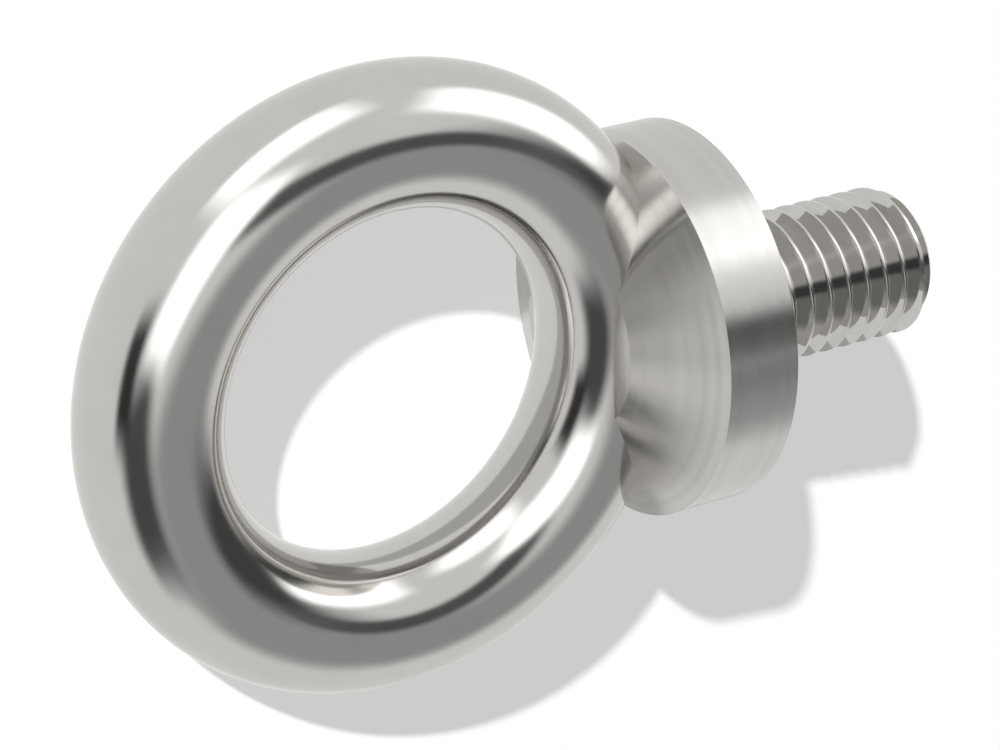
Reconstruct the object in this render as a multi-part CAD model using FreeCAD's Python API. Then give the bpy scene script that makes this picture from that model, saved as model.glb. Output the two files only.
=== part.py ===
import FreeCAD
import Part
import math
import os

V = FreeCAD.Vector

# Lifting eye bolt: a round-section ring, a conical neck, a round collar and a threaded shank, forged and
# turned as one piece of steel. It is built with the ring's centre at the origin, the ring in the XY plane
# and the shank along +X, and is then laid down as it rests on a floor.

# Driving sizes, millimetres
ring_pitch_d = 32.0
ring_wire_d = 9.0
thread_d = 10.0
thread_pitch = 1.5
shank_len = 17.0
collar_d = 25.0
collar_thick = 5.0
neck_len = 3.0
neck_tip_d = 12.0
seat_x = 22.0

# Sizes that follow
ring_r = ring_pitch_d / 2
wire_r = ring_wire_d / 2
thread_r = thread_d / 2
collar_r = collar_d / 2
neck_tip_r = neck_tip_d / 2
collar_x = seat_x - collar_thick
neck_x = collar_x - neck_len
shank_end_x = seat_x + shank_len

# A 60 degree thread: the crest flat is an eighth of the pitch wide and the groove is 0.6134 pitch deep.
flank_tan = math.tan(math.radians(30))
groove_depth = 0.6134 * thread_pitch
root_r = thread_r - groove_depth
crest_flat = thread_pitch / 8
root_flat = thread_pitch - crest_flat - 2 * groove_depth * flank_tan

# The relief under the collar is deeper than the thread's root, so the groove runs out in it and a nut or
# a tapped hole can close on the seat.
relief_r = root_r - 0.15 * thread_pitch
relief_len = 1.6 * thread_pitch
relief_fillet = 0.4 * thread_pitch
end_chamfer = groove_depth

# Turned body: neck, collar, relief and shank blank, one profile turned about the X axis
fillet_mid = relief_fillet * (1 - math.sqrt(0.5))
relief_x = seat_x + relief_len
fillet_from = V(seat_x, 0, relief_r + relief_fillet)
fillet_by = V(seat_x + fillet_mid, 0, relief_r + fillet_mid)
fillet_to = V(seat_x + relief_fillet, 0, relief_r)

front_outline = Part.makePolygon([
    V(neck_x, 0, 0),
    V(neck_x, 0, neck_tip_r),
    V(collar_x, 0, collar_r),
    V(seat_x, 0, collar_r),
    fillet_from,
])
shank_outline = Part.makePolygon([
    fillet_to,
    V(relief_x, 0, relief_r),
    V(relief_x + thread_r - relief_r, 0, thread_r),
    V(shank_end_x - end_chamfer, 0, thread_r),
    V(shank_end_x, 0, thread_r - end_chamfer),
    V(shank_end_x, 0, 0),
    V(neck_x, 0, 0),
])
fillet_arc = Part.Arc(fillet_from, fillet_by, fillet_to).toShape()
outline = Part.Wire(front_outline.Edges + [fillet_arc] + shank_outline.Edges)
body = Part.Face(outline).revolve(V(0, 0, 0), V(1, 0, 0), 360)

# Thread groove: a trapezoid swept along a right-hand helix, cut from the blank
# The sweep starts in the relief and ends past the shank's tip, so both of its ends lie in open air. Its
# mouth stands a little outside the crest, by less than would make two turns of it touch.
mouth_out = crest_flat / 2
groove_x = seat_x + relief_len / 2
groove_angle = 107.0
mouth_r = thread_r + mouth_out
mouth_half = root_flat / 2 + (groove_depth + mouth_out) * flank_tan
turn_count = math.ceil((shank_end_x + thread_pitch / 2 - groove_x) / thread_pitch)

# It is drawn about the Z axis, one helix edge to a turn, and then swung onto the shank.
helix_edges = []
for turn in range(turn_count):
    edge = Part.makeHelix(thread_pitch, thread_pitch, thread_r)
    edge.translate(V(0, 0, turn * thread_pitch))
    helix_edges.extend(edge.Edges)
helix = Part.Wire(helix_edges)

groove_section = Part.makePolygon([
    V(mouth_r, 0, -mouth_half),
    V(root_r, 0, -root_flat / 2),
    V(root_r, 0, root_flat / 2),
    V(mouth_r, 0, mouth_half),
    V(mouth_r, 0, -mouth_half),
])
sweep = Part.BRepOffsetAPI.MakePipeShell(helix)
sweep.setFrenetMode(True)
sweep.add(groove_section, False, False)
sweep.build()
sweep.makeSolid()
groove = sweep.shape()
groove.rotate(V(0, 0, 0), V(0, 0, 1), groove_angle)
groove.rotate(V(0, 0, 0), V(0, 1, 0), 90)
groove.translate(V(groove_x, 0, 0))
body = body.cut(groove)

# Ring: a circle turned about the ring's axis, drawn as its inner and its outer half
wire_top = V(ring_r, 0, wire_r)
wire_bottom = V(ring_r, 0, -wire_r)
inner_half = Part.Arc(wire_top, V(ring_r - wire_r, 0, 0), wire_bottom).toShape()
outer_half = Part.Arc(wire_bottom, V(ring_r + wire_r, 0, 0), wire_top).toShape()
ring_section = Part.Face(Part.Wire([inner_half, outer_half]))
ring = ring_section.revolve(V(0, 0, 0), V(0, 0, 1), 360)

# The ring's near side passes through the neck's narrow end into the collar and is one with them.
eye_bolt = body.fuse(ring).removeSplitter().Solids[0]

# Rest: it lies on the underside of the ring's far end and on the collar's front edge
# rest_tilt is the slope of the line that touches the ring's section from below and meets the collar's
# edge; turning by it lays that line on the floor and lifts the shank.
edge_reach = math.hypot(ring_r + collar_x, collar_r)
edge_slope = math.atan2(collar_r, ring_r + collar_x)
rest_tilt = edge_slope - math.asin(wire_r / edge_reach)
tilt_cos = math.cos(rest_tilt)
tilt_sin = math.sin(rest_tilt)

# The origin is on the floor, under the middle of the part's bounding box.
far_end = -ring_r * tilt_cos - wire_r
near_end = shank_end_x * tilt_cos + (thread_r - end_chamfer) * tilt_sin
lift = ring_r * tilt_sin + wire_r

eye_bolt.rotate(V(0, 0, 0), V(0, 1, 0), -math.degrees(rest_tilt))
eye_bolt.translate(V(-(far_end + near_end) / 2, 0, lift))

os.makedirs("parts", exist_ok=True)
eye_bolt.exportStep("parts/eye_bolt.step")
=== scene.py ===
import math

import bpy
import numpy as np
from mathutils import Matrix


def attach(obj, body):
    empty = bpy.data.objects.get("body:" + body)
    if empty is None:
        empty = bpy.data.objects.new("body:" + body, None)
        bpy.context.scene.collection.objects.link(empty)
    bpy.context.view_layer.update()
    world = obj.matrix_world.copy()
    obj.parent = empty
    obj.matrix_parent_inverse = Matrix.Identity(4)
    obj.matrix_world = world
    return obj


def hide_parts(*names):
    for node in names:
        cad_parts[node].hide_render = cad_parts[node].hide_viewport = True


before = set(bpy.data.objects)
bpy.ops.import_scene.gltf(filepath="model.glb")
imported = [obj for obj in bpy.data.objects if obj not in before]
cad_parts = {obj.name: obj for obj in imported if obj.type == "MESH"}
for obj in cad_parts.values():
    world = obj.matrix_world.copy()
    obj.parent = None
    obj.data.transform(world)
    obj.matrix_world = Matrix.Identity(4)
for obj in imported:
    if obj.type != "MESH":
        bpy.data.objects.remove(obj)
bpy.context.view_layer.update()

# Camera
# A long lens looks at the bolt from beyond its ring and from above. The picture is turned so that the ring
# stands upright in it, although the bolt lies on the floor.
picture_right = (0.711757, -0.002359, 0.702421)
picture_up = (0.292963, 0.909864, -0.293802)
towards_camera = (-0.638415, 0.414900, 0.648294)
camera_place = (-0.124139, 0.078312, 0.134684)

lens = bpy.data.cameras.new("camera")
lens.sensor_width = 36.0
lens.lens = 110.413
lens.clip_start = 0.01
lens.clip_end = 50.0
camera = bpy.data.objects.new("camera", lens)
camera.matrix_world = Matrix.Translation(camera_place) @ Matrix(
    (picture_right, picture_up, towards_camera)
).transposed().to_4x4()
bpy.context.scene.collection.objects.link(camera)
bpy.context.scene.camera = camera
bpy.context.scene.view_settings.view_transform = "Standard"


# Ring
# The lifting eye: round bar, forged with the rest of the bolt as one closed ring and polished bright.
# Sizes are in millimetres, from the ring's centre, with its hole along Z and the shank along +X. Sizes of
# the finish are in metres, as its texture is laid in the scene.
ring_radius = 16.0
bar_radius = 4.5
ring_steps = 288
bar_steps = 112
ring_colour = (0.535, 0.522, 0.503)
ring_colour_dull = (0.515, 0.503, 0.485)
ring_edge = (0.93, 0.92, 0.9)
ring_roughness = (0.1, 0.14)
haze_size = 0.0035
wave_size = 0.006
wave_height = 6e-6
grain_size = 0.0004
grain_height = 2.5e-7
noise_low = 0.3
noise_high = 0.7


class Value:
    """A number inside a node tree, which adds and multiplies as a plain number does."""

    def __init__(self, tree, socket):
        self.tree = tree
        self.socket = socket

    def worked(self, operation, *others):
        node = self.tree.nodes.new("ShaderNodeMath")
        node.operation = operation
        for slot, value in zip(node.inputs, (self, *others)):
            plug(self.tree, slot, value)
        return Value(self.tree, node.outputs[0])

    def __add__(self, other):
        return self.worked("ADD", other)

    def __sub__(self, other):
        return self.worked("SUBTRACT", other)

    def __mul__(self, other):
        return self.worked("MULTIPLY", other)

    def __truediv__(self, other):
        return self.worked("DIVIDE", other)

    def __rsub__(self, other):
        return (self * -1.0) + other

    __radd__ = __add__
    __rmul__ = __mul__


def plug(tree, slot, value):
    """Sets an input of a node, or links it where the value comes from another node."""
    if isinstance(value, Value):
        tree.links.new(value.socket, slot)
    elif isinstance(value, bpy.types.NodeSocket):
        tree.links.new(value, slot)
    else:
        slot.default_value = value


def add(tree, kind, plugs=None, **settings):
    """Adds one node with its settings and inputs."""
    node = tree.nodes.new(kind)
    for name, value in settings.items():
        setattr(node, name, value)
    for name, value in (plugs or {}).items():
        plug(tree, node.inputs[name], value)
    return node


def bent_bar(tree, ring, bar):
    """A round bar swept on a circle: the closed ring."""
    path = add(tree, "GeometryNodeCurvePrimitiveCircle", {"Resolution": ring_steps, "Radius": ring})
    section = add(tree, "GeometryNodeCurvePrimitiveCircle", {"Resolution": bar_steps, "Radius": bar})
    swept = add(
        tree,
        "GeometryNodeCurveToMesh",
        {"Curve": path.outputs["Curve"], "Profile Curve": section.outputs["Curve"]},
    )
    return swept.outputs["Mesh"]


def metal(name, colour, edge):
    """A bare metal, with what is the same all over it set on the shader itself."""
    material = bpy.data.materials.new(name)
    material.use_nodes = True
    tree = material.node_tree
    tree.nodes.clear()
    shader = add(tree, "ShaderNodeBsdfPrincipled", {
        "Metallic": 1.0,
        "Base Color": (*colour, 1.0),
        "Specular Tint": (*edge, 1.0),
    })
    out = tree.nodes.new("ShaderNodeOutputMaterial")
    tree.links.new(shader.outputs["BSDF"], out.inputs["Surface"])
    return material, tree, shader


def noise(tree, place, grain, detail):
    """Noise from 0 to 1 whose features are about the grain wide, in metres."""
    node = add(tree, "ShaderNodeTexNoise", {"Vector": place, "Scale": 1.0 / grain, "Detail": detail})
    return Value(tree, node.outputs["Fac"])


def between(tree, share, low, high):
    """The share's middle part spread from low to high."""
    node = add(tree, "ShaderNodeMapRange", {
        "Value": share,
        "From Min": noise_low,
        "From Max": noise_high,
        "To Min": low,
        "To Max": high,
    })
    return Value(tree, node.outputs["Result"])


def tinted(tree, share, clean, dull):
    """A colour between the clean and the dull one."""
    node = add(tree, "ShaderNodeMix", data_type="RGBA")
    plug(tree, node.inputs["Factor"], between(tree, share, 0.0, 1.0))
    for slot, colour in ((6, clean), (7, dull)):
        node.inputs[slot].default_value = (*colour, 1.0)
    return node.outputs[2]


def bumped(tree, height):
    """A bumped normal from a height in metres."""
    node = add(tree, "ShaderNodeBump", {"Height": height, "Strength": 1.0, "Distance": 1.0})
    return node.outputs["Normal"]


# The finish: a slow waviness and a faint haze, as a polishing belt leaves them
ring_steel, tree, shader = metal("polished_forging", ring_colour, ring_edge)
place = add(tree, "ShaderNodeTexCoord").outputs["Object"]
haze = noise(tree, place, haze_size, 3.0)
waves = noise(tree, place, wave_size, 1.0)
grain = noise(tree, place, grain_size, 2.0)
plug(tree, shader.inputs["Roughness"], between(tree, haze, *ring_roughness))
plug(tree, shader.inputs["Base Color"], tinted(tree, haze, ring_colour, ring_colour_dull))
plug(tree, shader.inputs["Normal"], bumped(tree, waves * wave_height + grain * grain_height))


# Neck, collar and shank
# Below the ring the forging is turned on a lathe: a cone opens to the round collar, whose flat underside
# is the seat, and a filleted relief leads from the seat to the shank. The lathe leaves fine marks round
# the axis.
neck_start = 14.0
neck_radius = 6.0
collar_start = 17.0
collar_radius = 12.5
seat = 22.0
shank_end = 39.0
thread_radius = 5.0
thread_pitch = 1.5
thread_depth = 0.6134
relief_depth = 0.15
relief_fillet = 0.4
relief_length = 1.6
turned_start = math.radians(17.0)
seam_distance = 0.0001
turned_steps = 288
fillet_steps = 5
turned_colour = (0.53, 0.518, 0.5)
turned_colour_dull = (0.5, 0.488, 0.47)
turned_edge = (0.93, 0.92, 0.9)
turned_roughness = (0.165, 0.2)
turned_stretch = 1.0
tool_mark_width = 0.00022
tool_mark_height = 9e-7
band_to_mark = 5.0
tangent_lean = 0.5

# The bolt lies as it comes to rest: on the underside of the ring's far end and on the collar's front
# edge. That tilts the shank up, and puts the ring's centre and the shank's line here in the scene.
edge_reach = math.hypot(ring_radius + collar_start, collar_radius)
edge_slope = math.atan2(collar_radius, ring_radius + collar_start)
rest_tilt = edge_slope - math.asin(bar_radius / edge_reach)
tilt_cos = math.cos(rest_tilt)
tilt_sin = math.sin(rest_tilt)
end_radius = thread_radius - thread_depth * thread_pitch
far_end = -ring_radius * tilt_cos - bar_radius
near_end = shank_end * tilt_cos + end_radius * tilt_sin
rest_place = (-(far_end + near_end) / 2, 0.0, ring_radius * tilt_sin + bar_radius)
millimetre = 0.001
ring_centre = tuple(part * millimetre for part in rest_place)
shank_line = (tilt_cos, 0.0, tilt_sin)


def wound_sheet(tree, outline, steps, turns=1, rise=0.0, start=0.0):
    """A sheet wound about the X axis. The outline gives each row's place along the axis and its radius;
    the rise is how far the sheet climbs in one turn."""
    columns = steps * turns + 1
    grid = add(tree, "GeometryNodeMeshGrid", {"Vertices X": len(outline), "Vertices Y": columns})
    index = Value(tree, add(tree, "GeometryNodeInputIndex").outputs[0])
    row = ((index + 0.5) / columns).worked("FLOOR")
    column = index - row * columns
    picks = []
    for part in range(2):
        pick = add(tree, "GeometryNodeIndexSwitch", data_type="FLOAT")
        while len(pick.index_switch_items) < len(outline):
            pick.index_switch_items.new()
        plug(tree, pick.inputs["Index"], row)
        for number, point in enumerate(outline):
            plug(tree, pick.inputs[str(number)], point[part])
        picks.append(Value(tree, pick.outputs[0]))
    along, radius = picks
    angle = column * (2 * math.pi / steps) + start
    place = add(
        tree,
        "ShaderNodeCombineXYZ",
        {
            "X": along + column * (rise / steps),
            "Y": radius * angle.worked("COSINE"),
            "Z": radius * angle.worked("SINE"),
        },
    )
    moved = add(
        tree,
        "GeometryNodeSetPosition",
        {"Geometry": grid.outputs["Mesh"], "Position": place.outputs["Vector"]},
    )
    closed = add(
        tree,
        "GeometryNodeMergeByDistance",
        {"Geometry": moved.outputs["Geometry"], "Distance": seam_distance},
    )
    return closed.outputs["Geometry"]


def turned_body(tree, size):
    """The blank as it leaves the lathe: cone, collar, seat, relief and plain shank."""
    depth = size["Thread Pitch"] * thread_depth
    relief = size["Thread Radius"] - depth - size["Thread Pitch"] * relief_depth
    fillet = size["Thread Pitch"] * relief_fillet
    relief_end = size["Seat"] + size["Thread Pitch"] * relief_length
    outline = [
        (size["Neck Start"], 0.0),
        (size["Neck Start"], size["Neck Radius"]),
        (size["Collar Start"], size["Collar Radius"]),
        (size["Seat"], size["Collar Radius"]),
    ]
    for step in range(fillet_steps + 1):
        turn = math.pi / 2 * step / fillet_steps
        outline.append((
            size["Seat"] + fillet * (1 - math.cos(turn)),
            relief + fillet * (1 - math.sin(turn)),
        ))
    outline += [
        (relief_end, relief),
        (relief_end + size["Thread Radius"] - relief, size["Thread Radius"]),
        (size["Shank End"] - depth, size["Thread Radius"]),
        (size["Shank End"], size["Thread Radius"] - depth),
        (size["Shank End"], 0.0),
    ]
    return wound_sheet(tree, outline, turned_steps, start=turned_start)


def vector(tree, operation, *parts, scale=None):
    """One step of vector arithmetic."""
    plugs = dict(enumerate(parts))
    if scale is not None:
        plugs["Scale"] = scale
    return add(tree, "ShaderNodeVectorMath", plugs, operation=operation).outputs


def about_shank(tree):
    """Where a point lies about the shank: how far along it, how far from it, and in what direction."""
    place = add(tree, "ShaderNodeTexCoord").outputs["Object"]
    from_ring = vector(tree, "SUBTRACT", place, ring_centre)["Vector"]
    along = vector(tree, "DOT_PRODUCT", from_ring, shank_line)["Value"]
    on_line = vector(tree, "SCALE", shank_line, scale=along)["Vector"]
    aside = vector(tree, "SUBTRACT", from_ring, on_line)["Vector"]
    away = vector(tree, "LENGTH", aside)["Value"]
    side = vector(tree, "NORMALIZE", aside)["Vector"]
    return Value(tree, along), Value(tree, away), side


def rings(tree, course, width, detail):
    """Noise from 0 to 1 that changes only along the course, in bands about the width across."""
    node = add(tree, "ShaderNodeTexNoise", {
        "W": course,
        "Scale": 1.0 / width,
        "Detail": detail,
    }, noise_dimensions="1D")
    return Value(tree, node.outputs["Fac"])


def lathe_finish(name, colour, dull, edge, roughness, stretch, mark_width, mark_height):
    """Turned metal: the tool's marks run round the axis, so reflections are drawn out across them."""
    material, tree, shader = metal(name, colour, edge)
    shader.inputs["Anisotropic"].default_value = stretch
    along, away, side = about_shank(tree)
    leaning = vector(tree, "SCALE", side, scale=tangent_lean)["Vector"]
    plug(tree, shader.inputs["Tangent"], vector(tree, "ADD", leaning, shank_line)["Vector"])
    marks = rings(tree, along + away, mark_width, 1.0)
    bands = rings(tree, along + away, mark_width * band_to_mark, 2.0)
    plug(tree, shader.inputs["Roughness"], between(tree, bands, *roughness))
    plug(tree, shader.inputs["Base Color"], tinted(tree, bands, colour, dull))
    plug(tree, shader.inputs["Normal"], bumped(tree, marks * mark_height))
    return material


turned_steel = lathe_finish(
    "turned_faces",
    turned_colour,
    turned_colour_dull,
    turned_edge,
    turned_roughness,
    turned_stretch,
    tool_mark_width,
    tool_mark_height,
)


# Thread
# A right-hand screw thread with 60 degree flanks, cut into the shank from the relief to the chamfered
# end, and brighter than the turned faces. Its tool is a trapezoid that winds along the shank and draws to
# a point at both ends.
thread_from = 0.8
flank_angle = math.radians(30)
crest_flat = 0.125
thread_colour = (0.53, 0.518, 0.5)
thread_colour_dull = (0.49, 0.478, 0.46)
thread_edge = (0.93, 0.92, 0.9)
thread_roughness = (0.05, 0.08)
thread_stretch = 0.3
thread_mark_width = 0.0003
thread_mark_height = 4e-7
crest_rounding = 0.5


def thread_tool(tree, size, turns):
    """The solid that is cut away: the groove, a little proud of the shank."""
    pitch = size["Thread Pitch"]
    depth = pitch * thread_depth
    crest = pitch * crest_flat
    proud = crest / 2
    slope = math.tan(flank_angle)
    root = size["Thread Radius"] - depth
    mouth = size["Thread Radius"] + proud
    root_half = (pitch - crest - depth * (2 * slope)) / 2
    mouth_half = root_half + (depth + proud) * slope
    origin = size["Seat"] + pitch * thread_from
    last = turned_steps * turns
    column = Value(tree, add(tree, "GeometryNodeInputIndex").outputs[0]).worked("FLOORED_MODULO", last + 1)
    whole = 1.0 - (column.worked("COMPARE", 0.0, 0.5) + column.worked("COMPARE", float(last), 0.5))
    middle = (root + mouth) / 2
    outline = [
        (origin + along * whole, middle + (radius - middle) * whole)
        for along, radius in (
            (mouth_half * -1.0, mouth),
            (root_half * -1.0, root),
            (root_half, root),
            (mouth_half, mouth),
            (mouth_half * -1.0, mouth),
        )
    ]
    return wound_sheet(tree, outline, turned_steps, turns, rise=pitch, start=turned_start)


thread_steel = lathe_finish(
    "cut_thread",
    thread_colour,
    thread_colour_dull,
    thread_edge,
    thread_roughness,
    thread_stretch,
    thread_mark_width,
    thread_mark_height,
)


# The bolt in one piece
# Ring, turned blank and thread are one piece of steel. One node tree cuts the thread into the blank,
# joins it and the ring into one closed skin of triangles, without slivers, and lays the bolt down.
weld_distance = 0.0015
ring_nearness = 0.02
seat_nearness = 0.01
facet_slope = 0.025
on_axis_radius = 0.001
crest_outward = 0.99


def bolt_tree():
    tree = bpy.data.node_groups.new("lifting_eye_bolt", "GeometryNodeTree")
    tree.is_modifier = True
    tree.interface.new_socket("Geometry", in_out="OUTPUT", socket_type="NodeSocketGeometry")
    values = {
        "Ring Radius": ring_radius,
        "Bar Radius": bar_radius,
        "Neck Start": neck_start,
        "Neck Radius": neck_radius,
        "Collar Start": collar_start,
        "Collar Radius": collar_radius,
        "Seat": seat,
        "Shank End": shank_end,
        "Thread Radius": thread_radius,
        "Thread Pitch": thread_pitch,
    }
    sockets = {
        name: tree.interface.new_socket(name, in_out="INPUT", socket_type="NodeSocketFloat").identifier
        for name in values
    }
    given = tree.nodes.new("NodeGroupInput")
    size = {name: Value(tree, given.outputs[name]) for name in values}

    ring = bent_bar(tree, size["Ring Radius"], size["Bar Radius"])
    blank = turned_body(tree, size)
    turns = math.ceil((shank_end - seat) / thread_pitch)
    tool = thread_tool(tree, size, turns)
    threaded = add(tree, "GeometryNodeMeshBoolean", operation="DIFFERENCE", solver="EXACT")
    tree.links.new(blank, threaded.inputs[0])
    tree.links.new(tool, threaded.inputs[1])
    joined = add(tree, "GeometryNodeMeshBoolean", operation="UNION", solver="EXACT")
    tree.links.new(threaded.outputs["Mesh"], joined.inputs[1])
    tree.links.new(ring, joined.inputs[1])

    welded = add(
        tree,
        "GeometryNodeMergeByDistance",
        {"Geometry": joined.outputs["Mesh"], "Distance": weld_distance},
    )
    position = add(tree, "GeometryNodeInputPosition").outputs[0]
    place = add(tree, "ShaderNodeSeparateXYZ", {"Vector": position})
    x, y, z = (Value(tree, place.outputs[axis]) for axis in range(3))
    off_circle = (x * x + y * y).worked("SQRT") - size["Ring Radius"]
    off_ring = (off_circle * off_circle + z * z).worked("SQRT") - size["Bar Radius"]
    shape = add(tree, "GeometryNodeTriangulate", {"Mesh": welded.outputs["Geometry"]}).outputs["Mesh"]
    for mark, here in (
        ("ring_face", off_ring.worked("COMPARE", 0.0, ring_nearness)),
        ("shank_face", x.worked("GREATER_THAN", size["Seat"] + seat_nearness)),
    ):
        marked = add(
            tree,
            "GeometryNodeStoreNamedAttribute",
            {"Geometry": shape, "Name": mark, "Value": here},
            data_type="BOOLEAN",
            domain="FACE",
        )
        shape = marked.outputs["Geometry"]
    laid = add(
        tree,
        "GeometryNodeTransform",
        {
            "Geometry": shape,
            "Translation": ring_centre,
            "Rotation": (0.0, -rest_tilt, 0.0),
            "Scale": (millimetre, millimetre, millimetre),
        },
    )
    real = add(tree, "GeometryNodeRealizeInstances", {"Geometry": laid.outputs["Geometry"]})
    shape = real.outputs["Geometry"]
    for mark, steel in ((None, turned_steel), ("shank_face", thread_steel), ("ring_face", ring_steel)):
        dressed = add(tree, "GeometryNodeSetMaterial", {"Geometry": shape, "Material": steel})
        if mark:
            there = add(tree, "GeometryNodeInputNamedAttribute", {"Name": mark}, data_type="BOOLEAN")
            plug(tree, dressed.inputs["Selection"], there.outputs["Attribute"])
        shape = dressed.outputs["Geometry"]
    out = tree.nodes.new("NodeGroupOutput")
    tree.links.new(shape, out.inputs[0])
    return tree, {sockets[name]: value for name, value in values.items()}


tree, sizes = bolt_tree()
bolt = bpy.data.objects.new("eye_bolt_steel", bpy.data.meshes.new("eye_bolt_steel"))
bpy.context.scene.collection.objects.link(bolt)
modifier = bolt.modifiers.new("forging", "NODES")
modifier.node_group = tree
for identifier, value in sizes.items():
    modifier[identifier] = value
bpy.context.view_layer.update()
graph = bpy.context.evaluated_depsgraph_get()
mesh = bpy.data.meshes.new_from_object(bolt.evaluated_get(graph))
bolt.modifiers.remove(modifier)
bolt.data = mesh


def read(items, name, kind, width=1):
    """One value of every vertex, corner or face of the mesh."""
    values = np.empty(len(items) * width, kind)
    items.foreach_get(name, values)
    return values.reshape(-1, width) if width > 1 else values


def outward(points):
    """The direction from the shank's line to each point."""
    away = points * (0.0, 1.0, 1.0)
    return away / np.maximum(np.linalg.norm(away, axis=1), 1e-9)[:, None]


def from_crest(points):
    """On which side of the nearest thread crest's middle each point lies."""
    turned = np.arctan2(points[:, 2], points[:, 1]) - turned_start
    middle = seat + (thread_from + 0.5 + turned / (2 * math.pi)) * thread_pitch
    middle += np.round((points[:, 0] - middle) / thread_pitch) * thread_pitch
    return np.sign(points[:, 0] - middle)


def true_normals(mesh):
    """Each corner gets the normal of its face's true surface, and the crests are slightly rounded."""
    stand = np.array([[tilt_cos, 0.0, tilt_sin], [0.0, 1.0, 0.0], [-tilt_sin, 0.0, tilt_cos]])
    place = (read(mesh.vertices, "co", np.float32, 3) / millimetre - rest_place) @ stand.T
    centre = (read(mesh.polygons, "center", np.float32, 3) / millimetre - rest_place) @ stand.T
    facing = read(mesh.polygons, "normal", np.float32, 3) @ stand.T
    of_face = np.repeat(np.arange(len(mesh.polygons)), read(mesh.polygons, "loop_total", np.int32))
    spot = place[read(mesh.loops, "vertex_index", np.int32)]
    on_ring = read(mesh.attributes["ring_face"].data, "value", bool)

    # A turned face's normal, carried round the shank from the face's middle to the corner
    axis = np.array([1.0, 0.0, 0.0])
    middle_out = outward(centre)
    along = facing @ axis
    out = (facing * middle_out).sum(1)
    aside = (facing * np.cross(axis, middle_out)).sum(1)
    aside[np.abs(aside) < facet_slope] = 0.0
    spot_out = outward(spot)
    on_axis = np.hypot(spot[:, 1], spot[:, 2]) < on_axis_radius
    spot_out[on_axis] = middle_out[of_face][on_axis]
    normal = (
        along[of_face, None] * axis
        + out[of_face, None] * spot_out
        + aside[of_face, None] * np.cross(axis, spot_out)
    )
    crest = (
        (centre[:, 0] > seat + 2 * thread_pitch)
        & (centre[:, 0] < shank_end - thread_pitch)
        & (out > crest_outward)
        & (np.hypot(centre[:, 1], centre[:, 2]) > thread_radius * crest_outward)
    )
    normal += np.where(crest[of_face], crest_rounding * from_crest(spot), 0.0)[:, None] * axis

    # The ring's normal, straight out from the circle in the middle of the bar
    circle = spot * (1.0, 1.0, 0.0)
    circle *= ring_radius / np.maximum(np.linalg.norm(circle, axis=1), 1e-9)[:, None]
    normal = np.where(on_ring[of_face, None], spot - circle, normal)
    normal /= np.linalg.norm(normal, axis=1)[:, None]
    mesh.polygons.foreach_set("use_smooth", np.ones(len(mesh.polygons), bool))
    mesh.normals_split_custom_set((normal @ stand).tolist())


true_normals(mesh)
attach(bolt, "root")
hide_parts("eye_bolt")


# Floor
# A plain white board under the bolt. It glows a little, which keeps the shadow pale. The metal mirrors the
# board and the shadow on it.
floor_reach = 3.0
floor_glow = 0.5
floor_mesh = bpy.data.meshes.new("floor")
floor_mesh.from_pydata(
    [(side * floor_reach, end * floor_reach, 0.0) for side, end in ((-1, -1), (1, -1), (1, 1), (-1, 1))],
    [],
    [(0, 1, 2, 3)],
)
floor = bpy.data.objects.new("floor", floor_mesh)
bpy.context.scene.collection.objects.link(floor)
paint = bpy.data.materials.new("floor_white")
paint.use_nodes = True
tree = paint.node_tree
tree.nodes.clear()
matt = add(tree, "ShaderNodeBsdfDiffuse", {"Color": (1.0, 1.0, 1.0, 1.0)})
glow = add(tree, "ShaderNodeEmission", {"Color": (1.0, 1.0, 1.0, 1.0), "Strength": 1.0})
white = add(tree, "ShaderNodeMixShader", {"Fac": floor_glow, 1: matt.outputs[0], 2: glow.outputs[0]})
add(tree, "ShaderNodeOutputMaterial", {"Surface": white.outputs[0]})
floor_mesh.materials.append(paint)


# Key light
# One lamp from the upper left, low enough to lay the bolt's shadow to the lower right. With the fill it
# lights the floor to just white. The metal shows the soft boxes below in its place.
key_height = math.radians(28)
key_side = math.radians(135)
key_spread = math.radians(1.2)
key_share = 0.8
fill_share = 0.2
lamp = bpy.data.lights.new("key", "SUN")
lamp.energy = key_share * math.pi / math.sin(key_height)
lamp.angle = key_spread
key = bpy.data.objects.new("key", lamp)
key.rotation_euler = (0.0, math.pi / 2 - key_height, key_side)
key.visible_glossy = False
bpy.context.scene.collection.objects.link(key)


# Soft boxes and cards
# Bright steel in a white room needs a few soft boxes for its highlights and dark cards to show its form.
# They stand out of the picture and show only in the metal, which between them shows the room and the floor.
panel_edge = 0.65
# Azimuth and height of each as seen from the bolt, its width and height, all in degrees, its distance in
# metres, and its brightness, where 1 is white
studio_panels = {
    "soft_box_right": (35, 30, 60, 45, 0.40, 3.0),
    "soft_box_low": (105, 15, 60, 40, 0.41, 2.5),
    "soft_box_left": (150, 45, 60, 45, 0.42, 3.0),
    "card_front": (180, 12, 50, 28, 0.43, 0.04),
    "card_right": (-15, 40, 45, 60, 0.44, 0.08),
    "card_back": (-150, 30, 70, 50, 0.45, 0.1),
    "card_top": (65, 80, 80, 25, 0.46, 0.12),
    "ceiling_grey": (-60, 62, 110, 75, 0.50, 0.45),
}


def span(degrees, distance):
    """How wide a thing at the distance is that takes up so many degrees."""
    return 2 * distance * math.tan(math.radians(degrees) / 2)


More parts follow.
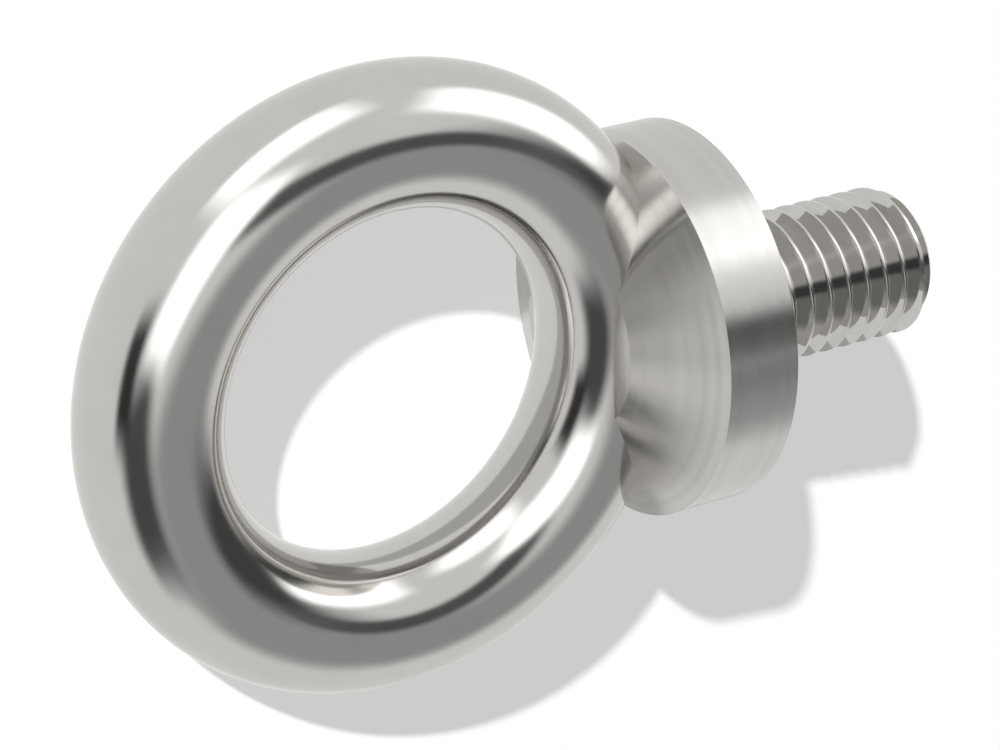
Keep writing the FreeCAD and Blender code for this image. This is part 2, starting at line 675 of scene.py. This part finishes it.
def soft_edged(name, brightness):
    """An even glow that fades to clear towards the panel's edges."""
    material = bpy.data.materials.new(name)
    material.use_nodes = True
    tree = material.node_tree
    tree.nodes.clear()
    place = add(tree, "ShaderNodeTexCoord").outputs["Object"]
    across = add(tree, "ShaderNodeSeparateXYZ", {"Vector": place})
    solid = 1.0
    for axis in range(2):
        edge = add(tree, "ShaderNodeMapRange", {
            "Value": Value(tree, across.outputs[axis]).worked("ABSOLUTE"),
            "From Min": 1.0,
            "From Max": 1.0 - panel_edge,
            "To Min": 0.0,
            "To Max": 1.0,
        }, interpolation_type="SMOOTHSTEP")
        solid = Value(tree, edge.outputs["Result"]) * solid
    clear = add(tree, "ShaderNodeBsdfTransparent")
    glow = add(tree, "ShaderNodeEmission", {"Color": (1.0, 1.0, 1.0, 1.0), "Strength": brightness})
    panel = add(tree, "ShaderNodeMixShader", {"Fac": solid, 1: clear.outputs[0], 2: glow.outputs[0]})
    add(tree, "ShaderNodeOutputMaterial", {"Surface": panel.outputs[0]})
    return material


for name, (azimuth, height, wide, high, distance, brightness) in studio_panels.items():
    panel_mesh = bpy.data.meshes.new(name)
    panel_mesh.from_pydata([(-1, -1, 0), (1, -1, 0), (1, 1, 0), (-1, 1, 0)], [], [(0, 1, 2, 3)])
    panel_mesh.materials.append(soft_edged(name, brightness))
    panel = bpy.data.objects.new(name, panel_mesh)
    panel.matrix_world = (
        Matrix.Rotation(math.radians(azimuth), 4, "Z")
        @ Matrix.Rotation(math.radians(90 - height), 4, "Y")
        @ Matrix.Translation((0.0, 0.0, distance))
        @ Matrix.Diagonal((span(high, distance) / 2, span(wide, distance) / 2, 1.0, 1.0))
    )
    panel.visible_camera = False
    panel.visible_diffuse = False
    panel.visible_shadow = False
    panel.visible_transmission = False
    bpy.context.scene.collection.objects.link(panel)


# Room
# A white room. The camera and the metal see it white, and it gives the floor an even fill.
room_white = 1.0
world = bpy.data.worlds.new("room")
bpy.context.scene.world = world
world.use_nodes = True
tree = world.node_tree
tree.nodes.clear()
views = {
    "fill": add(tree, "ShaderNodeBackground", {"Strength": fill_share}),
    "room": add(tree, "ShaderNodeBackground", {"Strength": room_white}),
}
for view in views.values():
    view.inputs["Color"].default_value = (1.0, 1.0, 1.0, 1.0)
ray = add(tree, "ShaderNodeLightPath").outputs
seen = Value(tree, ray["Is Camera Ray"])
for kind in ("Is Glossy Ray", "Is Transmission Ray"):
    seen = seen.worked("MAXIMUM", Value(tree, ray[kind]))
shown = add(tree, "ShaderNodeMixShader", {
    "Fac": seen,
    1: views["fill"].outputs[0],
    2: views["room"].outputs[0],
})
add(tree, "ShaderNodeOutputWorld", {"Surface": shown.outputs[0]})
